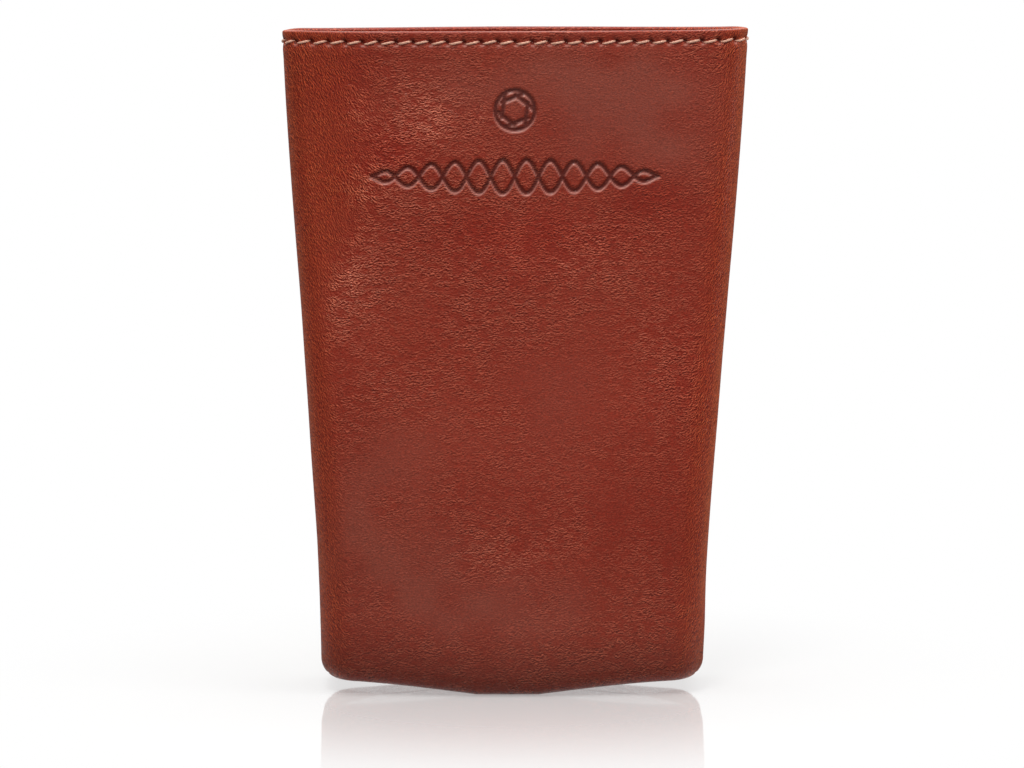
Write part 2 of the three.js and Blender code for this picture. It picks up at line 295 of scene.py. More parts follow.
def closed_wall(name, side, points, attributes=None):
    """Closed solid from a grid whose stations run all the way round the wall's thickness."""
    columns, stations = points.shape[:2]
    index = np.arange(columns * stations).reshape(columns, stations)
    corners = [index[:-1], index[1:], np.roll(index[1:], -1, axis=1), np.roll(index[:-1], -1, axis=1)]
    quads = np.stack(corners, axis=-1).reshape(-1, 4)
    caps = [index[0], index[-1][::-1]]
    if side == BACK:
        quads = quads[:, ::-1]
        caps = [cap[::-1] for cap in caps]
    faces = quads.tolist() + [cap.tolist() for cap in caps]
    return make_mesh(name, points.reshape(-1, 3), faces, attributes)


def closed_tube(name, rings):
    """Closed solid from rings of points that join end to end."""
    count, sides = rings.shape[:2]
    index = np.arange(count * sides).reshape(count, sides)
    after = np.roll(index, -1, axis=0)
    corners = [index, after, np.roll(after, -1, axis=1), np.roll(index, -1, axis=1)]
    return make_mesh(name, rings.reshape(-1, 3), np.stack(corners, axis=-1).reshape(-1, 4).tolist())


# ---- Leather panels ----

SEAM_LIP = 0.8
CORNER_LIP = 0.5
CORNER_REACH = 10

# The topstitching lies in a furrow between two low ridges, and each needle hole is a slanted slit above it.
FURROW_DEPTH = 0.16
SLIT_RISE = 0.15
SLIT_WIDTH = 0.34
SLIT_LENGTH = 0.62
SLIT_DEPTH = 0.6
PULL_DEPTH = 0.1
PUCKER_HEIGHT = 0.14


def lip(distance, radius):
    """How far a turned edge of this radius has rolled in, this far from its seam."""
    inside = np.clip(radius - distance, 0, radius)
    return radius - np.sqrt(radius**2 - inside**2)


def stitch_marks(side, s, z):
    """Relief of the topstitching, with its needle slits and the puckers beside them as shares, 0 to 1."""
    away = z - STITCH_Z
    along = -side * (((s / PITCH + 0.5) % 1) - 0.5) * PITCH
    furrow = -FURROW_DEPTH * hump(away, 0.7) + 0.04 * hump(away - 1.3, 0.5) + 0.05 * hump(away + 1.7, 0.9)
    above_slit = away - SLIT_RISE
    across_slit = 0.8 * along + 0.6 * above_slit
    along_slit = 0.6 * along - 0.8 * above_slit
    slit = hump(across_slit, SLIT_WIDTH) * hump(along_slit, SLIT_LENGTH)
    pull = hump(along, 0.6) * hump(away, 1.1)
    pucker = hump(along - 0.15, 0.3) * hump(away + 0.6, 0.22)
    return furrow - SLIT_DEPTH * slit - PULL_DEPTH * pull + PUCKER_HEIGHT * pucker, slit, pucker


# The ornament, and the heights between which the front's mesh is fine enough to show it.
ORNAMENT_Z = 0.825 * HEIGHT
ORNAMENT_STROKE = 0.36
ORNAMENT_DEPTH = 0.36
ORNAMENT_BAND = (92, 115)
IRIS_RADIUS = 3.7
IRIS_RISE = 7.2
IRIS_BLADES = 6
IRIS_SWEEP = math.radians(105)
BRAID_REACH = 27
BRAID_DROP = 5.2
BRAID_SWING = 3.1
BRAID_CROSSING = 4.5


def on_iris(angle):
    """Points on the iris's ring, from its middle."""
    return IRIS_RADIUS * np.stack([np.cos(angle), np.sin(angle)], axis=-1)


def ornament():
    """Points along the pressed ornament, in mm across and up from its middle: an iris over a braid."""
    strokes = [on_iris(np.linspace(0, 2 * math.pi, 120))]
    for blade in range(IRIS_BLADES):
        start = blade * 2 * math.pi / IRIS_BLADES
        t = 0.78 * np.linspace(0, 1, 30)[:, None]
        strokes.append(lerp(on_iris(start), on_iris(start + IRIS_SWEEP), t))
    iris = np.concatenate(strokes) + [0, IRIS_RISE]
    x = np.linspace(-BRAID_REACH, BRAID_REACH, 900)
    swell = np.cos(x / BRAID_REACH * math.pi / 2) ** 0.6
    wave = BRAID_SWING * swell * np.sin(x * math.pi / BRAID_CROSSING)
    strands = [np.stack([x, wave], axis=1), np.stack([x, -wave], axis=1)]
    return np.concatenate([iris, np.concatenate(strands) - [0, BRAID_DROP]])


def pressed_ornament(s, z):
    """Depth share, 0 to 1, of the ornament pressed into the front."""
    across, up = np.broadcast_arrays(s, z - ORNAMENT_Z)
    pressed = np.zeros(across.shape)
    near = (np.abs(across) < BRAID_REACH + 2) & (np.abs(up) < IRIS_RISE + IRIS_RADIUS + 2)
    spots = np.stack([across[near], up[near]], axis=1)
    distance = np.full(len(spots), np.inf)
    for chunk in np.array_split(ornament(), 40):
        gap = np.hypot(*(spots[:, None, :] - chunk[None, :, :]).transpose(2, 0, 1))
        distance = np.minimum(distance, gap.min(axis=1))
    pressed[near] = 1 - smooth((distance - 0.5 * ORNAMENT_STROKE) / ORNAMENT_STROKE)
    return pressed


# Smoother places on the faces: middle across, middle height, reach both ways, and how shiny they are, which
# also sets a painted sheen in the colour.
CALM_FRONT = [
    (12, 115, 24, 7, 1),
    (24, 106, 14, 9, 0.9),
    (-29, 28, 6, 12, 0.8),
    (-20, 22, 10, 11, 0.9),
    (-2, 17, 14, 6, 1),
    (-20, 46, 12, 9, 0.6),
    (9, 56, 12, 18, 0.3),
    (22, 30, 10, 9, 0),
]
CALM_BACK = [(-8, 100, 22, 12, 0.7), (14, 60, 12, 20, 0.2), (-20, 26, 14, 10, 0.5), (18, 18, 12, 6, 0.5)]


def calm_places(side, s, z):
    """How calm the grain is, and how shiny the leather is, with its painted sheen, 0 to 1."""
    calm, gloss_and_painted_sheen = 0, 0
    for across, up, wide, high, gloss in CALM_FRONT if side == FRONT else CALM_BACK:
        share = hump(s - across, wide) * hump(z - up, high)
        calm = calm + share
        gloss_and_painted_sheen = gloss_and_painted_sheen + gloss * share
    uneven = 0.9 + 0.6 * soft_noise(s, z, 6, 90 + side)
    return np.clip(calm * uneven, 0, 1), np.clip(gloss_and_painted_sheen * uneven, 0, 1)


# Places where the grain stands out, with stronger painted highlight and shade on it: middle across, middle
# height, reach both ways, and how strongly.
LIVELY_FRONT = [
    (-22, 109, 15, 5, 1),
    (-29, 97, 12, 6, 0.9),
    (-33, 80, 7, 16, 0.6),
    (2, 26, 14, 4, 0.35),
    (8, 84, 16, 5, 0.35),
    (28, 66, 9, 10, 0.3),
]
LIVELY_BACK = [(22, 96, 12, 8, 0.8), (-10, 42, 14, 7, 0.4), (26, 30, 8, 8, 0.4)]


def marked_places(places, s, z):
    """Sum of soft marks, each with its middle across, middle height, reach both ways and strength."""
    marks = [strength * hump(s - x, wide) * hump(z - up, high) for x, up, wide, high, strength in places]
    return sum(marks)


def lively_places(side, s, z):
    """How much the grain stands out, in relief and in its painted highlight and shade, 0 to 1."""
    lively = marked_places(LIVELY_FRONT if side == FRONT else LIVELY_BACK, s, z)
    return np.clip(lively * (0.9 + 0.6 * soft_noise(s, z, 5, 96 + side)), 0, 1)


# Places painted darker and more saturated, as painted shade where the leather reflects less: middle across,
# middle height, reach both ways, and how strongly.
LOW_SHEEN_FRONT = [
    (1, 87, 24, 5.5, 1),
    (-24, 102, 9, 5, 1),
    (-33, 117, 8, 6, 0.8),
    (27, 94, 8, 5, 1),
    (1, 79, 9, 4, 0.4),
    (31, 61, 5, 8, 0.5),
    (6, 109, 26, 3, 0.25),
]
LOW_SHEEN_BACK = [(0, 76, 22, 8, 0.8), (-24, 108, 10, 6, 0.7), (26, 52, 8, 10, 0.5)]


def painted_low_sheen_places(side, s, z):
    """How much darker and more saturated the leather is painted where it reflects less, 0 to 1."""
    painted_low_sheen = marked_places(LOW_SHEEN_FRONT if side == FRONT else LOW_SHEEN_BACK, s, z)
    return np.clip(painted_low_sheen * (0.9 + 0.4 * soft_noise(s, z, 7, 61 + side)), 0, 1)


def silhouette(z):
    """Distance round, from the middle of a face, at which the wall turns away to the side."""
    _, radius, _, lean, face_radius, _ = arcs(z)
    return face_radius * lean + 0.75 * radius * (math.pi / 2 - lean)


def panel_columns():
    """Distances round a panel: even along the stitches, and closer at the turned seams."""
    count = COLUMNS_PER_STITCH * STITCHES // 2
    even = np.linspace(-QUARTER, QUARTER, count + 1)
    close = QUARTER - SEAM_LIP * np.array([0.06, 0.15, 0.45, 0.8])
    return np.unique(np.concatenate([even, close, -close]))[:, None]


def panel_path(ornamented):
    """Round the leather's section, and how many of its stations are outside, up to the rim.

    It runs across the base, up the outer face, over the rim, down the hem and back down inside.
    """
    turn = np.linspace(1, -1, 25)
    edge_angles = math.pi / 4 * (1 + np.sign(turn) * np.abs(turn) ** 1.5)
    fine = 0.26 if ornamented else 0.9
    band_low, band_high = ORNAMENT_BAND
    heights = np.concatenate(
        [
            steps(BASE_EDGE + 1, band_low, 1.1),
            steps(band_low, band_high, fine),
            steps(band_high, STITCH_Z - 1.6, 0.8),
            steps(STITCH_Z - 1.6, STITCH_Z + 1.2, 0.14),
            steps(STITCH_Z + 1.2, HEIGHT - 0.34, 0.2),
        ]
    )
    inner_heights = np.array([HEIGHT - 2 * LEATHER, HEIGHT - HEM_DEPTH, 100, 80, 60, 40, 22, 12])
    path = Path()
    path.base(0, np.linspace(0, 1, 15)[:-1] ** 2, UNDER)
    path.edge(0, 0, edge_angles)
    path.wall(heights, 0, OUT)
    path.fold(HEIGHT, 0, HEM_INNER, np.linspace(0, math.pi, 15))
    outer_count = len(path.stations)
    path.wall([HEIGHT - 3, HEIGHT - 6, HEIGHT - HEM_DEPTH], HEM_INNER, IN)
    path.wall([HEIGHT - HEM_DEPTH, HEIGHT - 2 * LEATHER], HEM_OUTER, OUT)
    path.wall(inner_heights, LEATHER, IN)
    path.edge(LEATHER, LEATHER, np.linspace(0, math.pi / 2, 5), inner=True)
    path.base(LEATHER, [0.7, 0.45, 0.4, 0.2, 0], OVER)
    return path, outer_count


def leather_panel(name, side):
    """One leather panel with its turned seams, hem, stitch marks and, on the front, the ornament."""
    path, outer_count = panel_path(side == FRONT)
    s = panel_columns()
    z, _, tilt, fill = path.rows()
    outer = (np.arange(z.shape[1]) < outer_count)[None, :]
    _, ring_y, _, _ = section_point(s, z)
    from_seam = np.where(fill < 1, ring_y * fill, QUARTER - np.abs(s))
    marks, slit, pucker = stitch_marks(side, s, z)
    on_wall = outer * smooth(np.cos(tilt) * 2 - 1) * (fill == 1)

    # The side and base seams are turned in, and so are the corner seams, which run along the lower edge.
    stitch_pull = 1 + 0.15 * np.cos(2 * math.pi * z / PITCH)
    seams = lip(from_seam, SEAM_LIP) * np.where(fill < 1, 1, stitch_pull)
    from_corner = np.where(z > BASE_EDGE, CORNER_LIP, BASE_EDGE * np.abs(tilt + math.pi / 4))
    corner = lip(from_corner, CORNER_LIP) * smooth((CORNER_REACH - ring_y) / 3)

    ornamented = on_wall * (side == FRONT)
    pressed = ornamented * pressed_ornament(s, z)
    # The ornament a little higher up, for a painted highlight on the lower edge of each stroke.
    above = ornamented * pressed_ornament(s, z + 0.8 * ORNAMENT_STROKE)
    face = undulation(side, s, z) + marks - ORNAMENT_DEPTH * pressed
    push = outer * (on_wall * face - seams - corner)

    # Below the hem, the seam allowances double the wall on the inside. They are thinner across the base.
    allowance = smooth((ALLOWANCE_WIDTH - from_seam) / 1.5) * np.where(fill < 1, 0.5, 1)
    push = push + ~outer * (z < HEIGHT - HEM_DEPTH) * allowance * (ALLOWANCE_DEPTH - LEATHER)
    points = place(side, s, path, push)

    to_outline = silhouette(z) - np.abs(s)
    near_mouth = smooth((z - 70) / 30) * (side * s > 0)
    # Painted highlight along the top of the rim, weaker on the back.
    painted_rim_highlight = hump(tilt - 1.35, 0.75) * (0.65 if side == FRONT else 0.35)
    # Painted shade in the lowest 14 mm, strongest across the middle.
    painted_foot_shade = smooth(1 - z / 14) * (0.75 + 0.25 * hump(s, 22))
    calm, gloss_and_painted_sheen = calm_places(side, s, z)
    attributes = {
        # Dark in the ornament's pressed strokes, and painted shade in the needle slits.
        "pressed": np.clip(0.68 * pressed + 0.75 * on_wall * slit, 0, 1),
        # Painted highlight on the lower edges of the ornament's strokes, on the puckers below the stitches
        # and along the rim.
        "painted_highlight": np.clip(above - pressed + 0.7 * on_wall * pucker + outer * painted_rim_highlight, 0, 1),
        # Wear from rubbing at the sides, with a painted sheen where they turn away, stronger towards +x.
        "edge_wear_and_sheen": outer * smooth((3.2 - to_outline) / 3) * (0.85 + 0.15 * np.sign(s)),
        "stretched": outer * smooth((lerp(9, 24, near_mouth) - to_outline) / lerp(6, 16, near_mouth)),
        "calm": outer * calm,
        # Gloss of the coat, which also sets a painted sheen in the colour.
        "gloss_and_painted_sheen": outer * gloss_and_painted_sheen,
        "lively": outer * lively_places(side, s, z),
        # Painted shade: darker, more saturated where the leather reflects less.
        "painted_low_sheen": outer * painted_low_sheen_places(side, s, z),
        # Painted shade, darker towards the bottom.
        "painted_bottom_shade": outer * (0.5 * smooth(1 - z / 62) + 0.5 * painted_foot_shade),
    }
    attributes = {key: np.broadcast_to(values, points.shape[:2]) for key, values in attributes.items()}
    piece = closed_wall(name, side, points, attributes)
    piece.data.materials.append(leather_material())
    return piece


# ---- Lining ----


def lining_panel(name, side):
    """One half of the lining bag: a thin cloth wall with a folded top edge."""
    outer, inner = LINING
    top = HEIGHT - LINING_DROP
    beside_seams = [-QUARTER + 0.3, QUARTER - 0.3]
    s = np.unique(np.concatenate([np.linspace(-QUARTER, QUARTER, 175), beside_seams]))[:, None]
    heights = np.concatenate([steps(top - 0.4, STITCH_Z - 1, 0.25), steps(STITCH_Z - 1, 5, 1.6)])
    path = Path()
    path.base(LINING_FLOOR[0], np.linspace(0, 1, 6)[:-1], UNDER)
    path.edge(LINING_FLOOR[0], outer, np.linspace(math.pi / 2, 0, 6))
    path.wall([12, 30, 60, 90, STITCH_Z], outer, OUT)
    path.fold(top, outer, inner, np.linspace(0, math.pi, 9))
    path.wall(heights, inner, IN)
    path.edge(LINING_FLOOR[1], inner, np.linspace(0, math.pi / 2, 8), inner=True)
    path.base(LINING_FLOOR[1], np.linspace(1, 0, 16)[1:], OVER)
    z, depth, tilt, _ = path.rows()
    inside = (tilt > 2.5) * (depth >= inner - 0.01)
    slack = 0.16 + 0.14 * soft_noise(s + 0.6 * z, z, 9, 71 + side)
    away = smooth((STITCH_Z - z) / 6) * smooth(z / 20) * smooth((QUARTER - np.abs(s)) / 6)
    dimple = 0.07 * hump(z - STITCH_Z, 0.7)
    push = inside * (slack * away - dimple)
    piece = closed_wall(name, side, place(side, s, path, push))
    piece.data.materials.append(lining_material())
    return piece


# ---- Stitching round the mouth ----

# The twist's pitch is near 2.1 mm, with a whole number of turns round the mouth.
TWIST_PITCH = 4 * QUARTER / round(4 * QUARTER / 2.1)

# How unevenly the stitches sag, in mm, and slant, as a share.
SAG_SPREAD = 0.05
SLANT_SPREAD = 0.14


def mouth_path(stretch, z):
    """Side, point, outward direction and swell round the mouth, stretch in mm from the left side's middle."""
    stretch = stretch % (4 * QUARTER)
    side = np.where(stretch < 2 * QUARTER, FRONT, BACK)
    s = np.where(side == FRONT, stretch - QUARTER, 3 * QUARTER - stretch)
    swell = np.where(side == FRONT, undulation(FRONT, s, z), undulation(BACK, s, z))
    return side, section_point(s, z), swell


def stitch_ring(name, radius, lie, hole, seed, outside):
    """Closed ring of lockstitch in twisted thread.

    Each stitch lies slanted between two holes at depth lie, and dips into both to depth hole. A thread on the
    outside follows the swelling of the leather.
    """
    turns, sides = 26, 15
    random = np.random.default_rng(seed)
    sag = random.normal(0, SAG_SPREAD, STITCHES)
    tilt = random.normal(1, SLANT_SPREAD, STITCHES)
    stitch = np.repeat(np.arange(STITCHES), turns)
    part = np.tile((np.arange(turns) + 0.5) / turns - 0.5, STITCHES)
    stretch = (stitch + part) * PITCH
    dip = np.abs(2 * part) ** 2.8
    depth = lerp(lie, hole, dip)
    slant = STITCH_RISE * tilt[stitch] * np.sin(part * math.pi) * (1 - 0.8 * np.abs(2 * part) ** 12)
    z = STITCH_Z + slant + sag[stitch] * (1 - dip)
    side, (x, y, nx, ny), swell = mouth_path(stretch, z)
    depth = depth - swell * outside
    risen = z + rim_rise(side, x, y, z)
    centre = np.stack([x - depth * nx + sway(z), side * (y - depth * ny), risen], axis=1)
    out = np.stack([nx, side * ny, 0 * nx], axis=1)
    along = np.roll(centre, -1, axis=0) - np.roll(centre, 1, axis=0)
    along /= np.linalg.norm(along, axis=1, keepdims=True)
    up = np.cross(along, out)
    up /= np.linalg.norm(up, axis=1, keepdims=True)
    out = np.cross(up, along)
    angle = np.linspace(0, 2 * math.pi, sides, endpoint=False)[None, :]
    twist = (2 * math.pi * stretch / TWIST_PITCH)[:, None]
    ply = 1.1 - 0.2 * np.abs(np.sin(0.5 * THREAD_PLIES * (angle - twist))) ** 1.5
    reach = radius * (0.88 + 0.22 * (1 - dip))[:, None] * ply
    ring = centre[:, None, :] + (reach * np.cos(angle))[..., None] * out[:, None, :]
    ring = ring + (reach * np.sin(angle))[..., None] * up[:, None, :]
    piece = closed_tube(name, ring)
    piece.data.materials.append(thread_material())
    return piece


# ---- Materials ----


def add_node(material, kind, inputs=None, **settings):
    """Shader node with its inputs set to values or linked to other nodes' sockets."""
    tree = material.node_tree
    made = tree.nodes.new("ShaderNode" + kind)
    for key, value in settings.items():
        setattr(made, key, value)
    for key, value in (inputs or {}).items():
        if isinstance(value, bpy.types.NodeSocket):
            tree.links.new(value, made.inputs[key])
        else:
            made.inputs[key].default_value = value
    return made


def new_material(name, shader):
    """Node material with these settings on its Principled shader."""
    material = bpy.data.materials.new(name)
    material.use_nodes = True
    principled = material.node_tree.nodes["Principled BSDF"]
    for key, value in shader.items():
        principled.inputs[key].default_value = value
    return material, principled


def plug(material, source, target):
    material.node_tree.links.new(source, target)


def maths(material, operation, a, b=0.0, c=0.0):
    return add_node(material, "Math", {0: a, 1: b, 2: c}, operation=operation).outputs[0]


def vector_maths(material, operation, a, b=(0, 0, 0)):
    return add_node(material, "VectorMath", {0: a, 1: b}, operation=operation).outputs[0]


def moved(material, vector, step):
    return vector_maths(material, "ADD", vector, step)


def scaled(material, vector, factors):
    return vector_maths(material, "MULTIPLY", vector, factors)


def faded(material, vector, factor):
    return add_node(material, "VectorMath", {0: vector, "Scale": factor}, operation="SCALE").outputs[0]


def turned(material, vector, angle):
    """Coordinates turned about the case's depth."""
    inputs = {"Vector": vector, "Angle": angle}
    return add_node(material, "VectorRotate", inputs, rotation_type="Y_AXIS").outputs[0]


def remap(material, value, low, high, to_low=0.0, to_high=1.0):
    """Smooth, clamped change of range."""
    inputs = {"Value": value, "From Min": low, "From Max": high, "To Min": to_low, "To Max": to_high}
    return add_node(material, "MapRange", inputs, interpolation_type="SMOOTHSTEP").outputs["Result"]


def mix_colour(material, factor, a, b):
    return add_node(material, "Mix", {0: factor, 6: a, 7: b}, data_type="RGBA").outputs[2]


def mix_vectors(material, factor, a, b):
    return add_node(material, "Mix", {0: factor, 4: a, 5: b}, data_type="VECTOR").outputs[1]


def attribute(material, name):
    return add_node(material, "Attribute", attribute_name=name).outputs["Fac"]


def place_mm(material, stretch=(1, 1, 1)):
    """Object coordinates in millimetres, stretched."""
    coordinates = add_node(material, "TexCoord").outputs["Object"]
    scale = tuple(each / MM for each in stretch)
    return add_node(material, "Mapping", {"Vector": coordinates, "Scale": scale}).outputs[0]


def noise(material, vector, scale, detail=2.0, roughness=0.5, distortion=0.0):
    inputs = {"Vector": vector, "Scale": scale, "Detail": detail}
    inputs |= {"Roughness": roughness, "Distortion": distortion}
    return add_node(material, "TexNoise", inputs).outputs[0]


def warped(material, vector, scale, amount):
    """Coordinates moved about by up to amount mm."""
    inputs = {"Vector": vector, "Scale": scale, "Detail": 1.0}
    wander = add_node(material, "TexNoise", inputs).outputs["Color"]
    centred = vector_maths(material, "SUBTRACT", wander, (0.5, 0.5, 0.5))
    return moved(material, vector, faded(material, centred, 2 * amount))


def ridges(material, vector, width):
    """Raised net between irregular cells about 1 mm across: 1 on the net and 0 inside the cells."""
    inputs = {"Vector": vector, "Scale": 1.0}
    from_edge = add_node(material, "TexVoronoi", inputs, feature="DISTANCE_TO_EDGE").outputs["Distance"]
    return remap(material, from_edge, 0.0, width, 1.0, 0.0)


_materials = {}


def made_once(build):
    """Makes a material the first time that it is asked for, and returns the same one afterwards."""

    def get():
        if build.__name__ not in _materials:
            _materials[build.__name__] = build()
        return _materials[build.__name__]

    return get


def wrinkles(material, vector):
    """Height of the grain: a net of ridges between cells, over fine wrinkles."""
    net = ridges(material, vector, 0.25)
    fine = noise(material, vector, 1.9, 2.0, 0.6)
    return maths(material, "MULTIPLY_ADD", net, 0.14, fine)


def leather_grain(material, mm, calm, stretched):
    """Wrinkled grain, steeper towards the sides: its height, slopes facing up and down, and strength.
    Highlight is painted on the slopes facing up and shade on those facing down.

    The steeper grain leans one way on the left and the other way on the right, so its coordinates are
    mirrored across the middle. All y are made positive first, so that the front and back aren't.
    """
    mirrored = vector_maths(material, "ABSOLUTE", moved(material, mm, (0, 50, 0)))
    flat = warped(material, scaled(material, turned(material, mm, 0.1), (1.0, 1.1, 1.9)), 0.45, 0.3)
    oblique = warped(material, scaled(material, turned(material, mirrored, 0.6), (1.0, 1.1, 1.9)), 0.45, 0.25)
    steep = warped(material, scaled(material, turned(material, mirrored, 1.1), (0.85, 1.0, 2.4)), 0.5, 0.2)
    ragged = maths(material, "ADD", stretched, maths(material, "SUBTRACT", noise(material, mm, 0.4), 0.5))
    aligned = mix_vectors(material, maths(material, "GREATER_THAN", ragged, 0.25), flat, oblique)
    aligned = mix_vectors(material, maths(material, "GREATER_THAN", ragged, 0.65), aligned, steep)
    height = wrinkles(material, aligned)
    height_above = wrinkles(material, moved(material, aligned, (0, 0, 0.17)))
    slope = maths(material, "SUBTRACT", height, height_above)
    facing_up = remap(material, slope, 0.01, 0.08)
    facing_down = remap(material, slope, 0.0, -0.075)
    breaks = noise(material, scaled(material, mm, (0.5, 0.5, 1.0)), 0.9)
    broken = remap(material, breaks, 0.36, 0.56, 0.3, 1.0)
    patchy = remap(material, noise(material, mm, 0.07, 3.0), 0.36, 0.62, 0.55, 1.0)
    kept = maths(material, "MULTIPLY_ADD", calm, -0.65, 1.0)
    strength = maths(material, "MULTIPLY", maths(material, "MULTIPLY", patchy, kept), broken)
    strength = maths(material, "MAXIMUM", strength, maths(material, "MULTIPLY", stretched, 0.65))
    return height, facing_up, facing_down, strength


# Linear colours of the leather. The dye is what shows between the grain's painted highlights and painted
# shade. Some colours below are painted light: highlight and shade on the grain, a sheen, and highlight on the
# rim and the ornament.
DARKER_DYE = (0.235, 0.017, 0.007, 1)
LIGHTER_DYE = (0.265, 0.024, 0.011, 1)
LIVELY_DYE = (0.25, 0.012, 0.004, 1)
# Painted shade on the grain's slopes facing down, in lively places.
LIVELY_GRAIN_PAINTED_SHADE = (0.12, 0.003, 0.001, 1)
# Painted highlights on the grain's slopes facing up: plain, in lively places, and at the stretched sides.
GRAIN_PAINTED_HIGHLIGHT = (0.5, 0.11, 0.06, 1)
LIVELY_GRAIN_PAINTED_HIGHLIGHT = (0.95, 0.3, 0.18, 1)
STRETCHED_GRAIN_PAINTED_HIGHLIGHT = (0.58, 0.1, 0.03, 1)
# Lighter orange of the sides: wear from rubbing and a painted sheen.
RUBBED_EDGE_AND_SHEEN = (0.45, 0.105, 0.04, 1)
# Painted sheen: a lighter, duller red standing in for reflection in the shiny places.
PAINTED_SHEEN = (0.27, 0.055, 0.03, 1)
# Painted highlight colour for the rim, the puckers and the lower edges of the ornament's strokes.
PAINTED_HIGHLIGHT_COLOUR = (0.7, 0.32, 0.26, 1)
# Dark colour of the ornament's pressed strokes, also painted shade in the needle slits.
ORNAMENT_AND_PAINTED_SLIT_SHADE = (0.05, 0.01, 0.01, 1)


@made_once
def leather_material():
    """Glossy full-grain leather, dyed red-brown: wrinkled grain with painted highlight and shade, calm shiny
    places with a painted sheen, sides lightened by wear and a painted sheen, painted shade towards the bottom
    and where it reflects less, and painted highlights on the rim, the puckers and the ornament.
    """
    settings = {"Specular IOR Level": 0.1, "Specular Tint": (1, 0.82, 0.68, 1), "Coat Roughness": 0.1}
    material, shader = new_material("outer_leather", settings)
    mm = place_mm(material)
    calm, stretched = attribute(material, "calm"), attribute(material, "stretched")
    edge_wear_and_sheen, pressed = attribute(material, "edge_wear_and_sheen"), attribute(material, "pressed")
    grain, facing_up, facing_down, strength = leather_grain(material, mm, calm, stretched)

    creases = noise(material, scaled(material, mm, (0.35, 0.5, 1.1)), 1.3, 3.0, 0.6, 0.5)
    pores = noise(material, scaled(material, mm, (1, 1, 1.6)), 2.8, 3.0, 0.6)
    lively = attribute(material, "lively")
    relief = maths(material, "MULTIPLY_ADD", lively, 0.7, 0.9)
    height = maths(material, "MULTIPLY", maths(material, "MULTIPLY", grain, strength), relief)
    height = maths(material, "MULTIPLY_ADD", creases, 0.5, height)
    height = maths(material, "MULTIPLY_ADD", pores, 0.35, height)
    bump = add_node(material, "Bump", {"Height": height, "Distance": 0.12 * MM, "Filter Width": 0.02})
    plug(material, bump.outputs[0], shader.inputs["Normal"])
    plug(material, bump.outputs[0], shader.inputs["Coat Normal"])

    patches = remap(material, noise(material, mm, 0.04, 3.0), 0.35, 0.65)
    plain = mix_colour(material, patches, DARKER_DYE, LIGHTER_DYE)
    plain = mix_colour(material, lively, plain, LIVELY_DYE)
    # The sides are lighter orange: wear from rubbing and a painted sheen.
    rubbing = remap(material, noise(material, mm, 0.15, 3.0), 0.3, 0.7, 0.45, 1.0)
    edge_rubbing_and_sheen = maths(material, "MULTIPLY", edge_wear_and_sheen, rubbing)
    plain = mix_colour(material, edge_rubbing_and_sheen, plain, RUBBED_EDGE_AND_SHEEN)
    # Painted shade on the grain's slopes facing down, and painted highlight on those facing up.
    shaded = maths(material, "MULTIPLY", strength, facing_down)
    grain_painted_shade = scaled(material, plain, (0.35, 0.14, 0.12))
    grain_painted_shade = mix_colour(material, lively, grain_painted_shade, LIVELY_GRAIN_PAINTED_SHADE)
    raised = mix_colour(material, lively, GRAIN_PAINTED_HIGHLIGHT, LIVELY_GRAIN_PAINTED_HIGHLIGHT)
    raised = mix_colour(material, stretched, raised, STRETCHED_GRAIN_PAINTED_HIGHLIGHT)
    # Painted sheen: the shiny places are lighter in colour.
    painted_sheen = maths(material, "MULTIPLY", attribute(material, "gloss_and_painted_sheen"), 0.6)
    plain = mix_colour(material, painted_sheen, plain, PAINTED_SHEEN)
    cell = mix_colour(material, shaded, plain, grain_painted_shade)
    lit = maths(material, "MULTIPLY", strength, facing_up)
    colour = mix_colour(material, lit, cell, raised)
    pits = remap(material, pores, 0.3, 0.7, 0.72, 1.25)
    # Painted shade darkens the leather towards the bottom.
    painted_bottom_shade = maths(material, "MULTIPLY_ADD", attribute(material, "painted_bottom_shade"), -0.7, 1.0)
    tone = maths(material, "MULTIPLY", pits, painted_bottom_shade)
    toned = faded(material, colour, tone)
    # Painted shade: darker, more saturated where the leather reflects less.
    low_sheen_colour = scaled(material, toned, (0.88, 0.52, 0.44))
    toned = mix_colour(material, attribute(material, "painted_low_sheen"), toned, low_sheen_colour)
    # Painted highlight on the rim, the puckers and the ornament's lower edges.
    painted_highlight = maths(material, "MULTIPLY", attribute(material, "painted_highlight"), 0.75)
    toned = mix_colour(material, painted_highlight, toned, PAINTED_HIGHLIGHT_COLOUR)
    # Dark in the ornament's strokes, and painted shade in the needle slits.
    plug(material, mix_colour(material, pressed, toned, ORNAMENT_AND_PAINTED_SLIT_SHADE), shader.inputs["Base Color"])
    gloss = remap(material, noise(material, mm, 0.9, 3.0), 0.3, 0.7, 0.22, 0.4)
    plug(material, maths(material, "MULTIPLY_ADD", edge_wear_and_sheen, 0.3, gloss), shader.inputs["Roughness"])
    coat = maths(material, "MULTIPLY_ADD", attribute(material, "gloss_and_painted_sheen"), 0.2, 0.05)
    plug(material, maths(material, "MULTIPLY_ADD", edge_wear_and_sheen, -0.05, coat), shader.inputs["Coat Weight"])
    return material


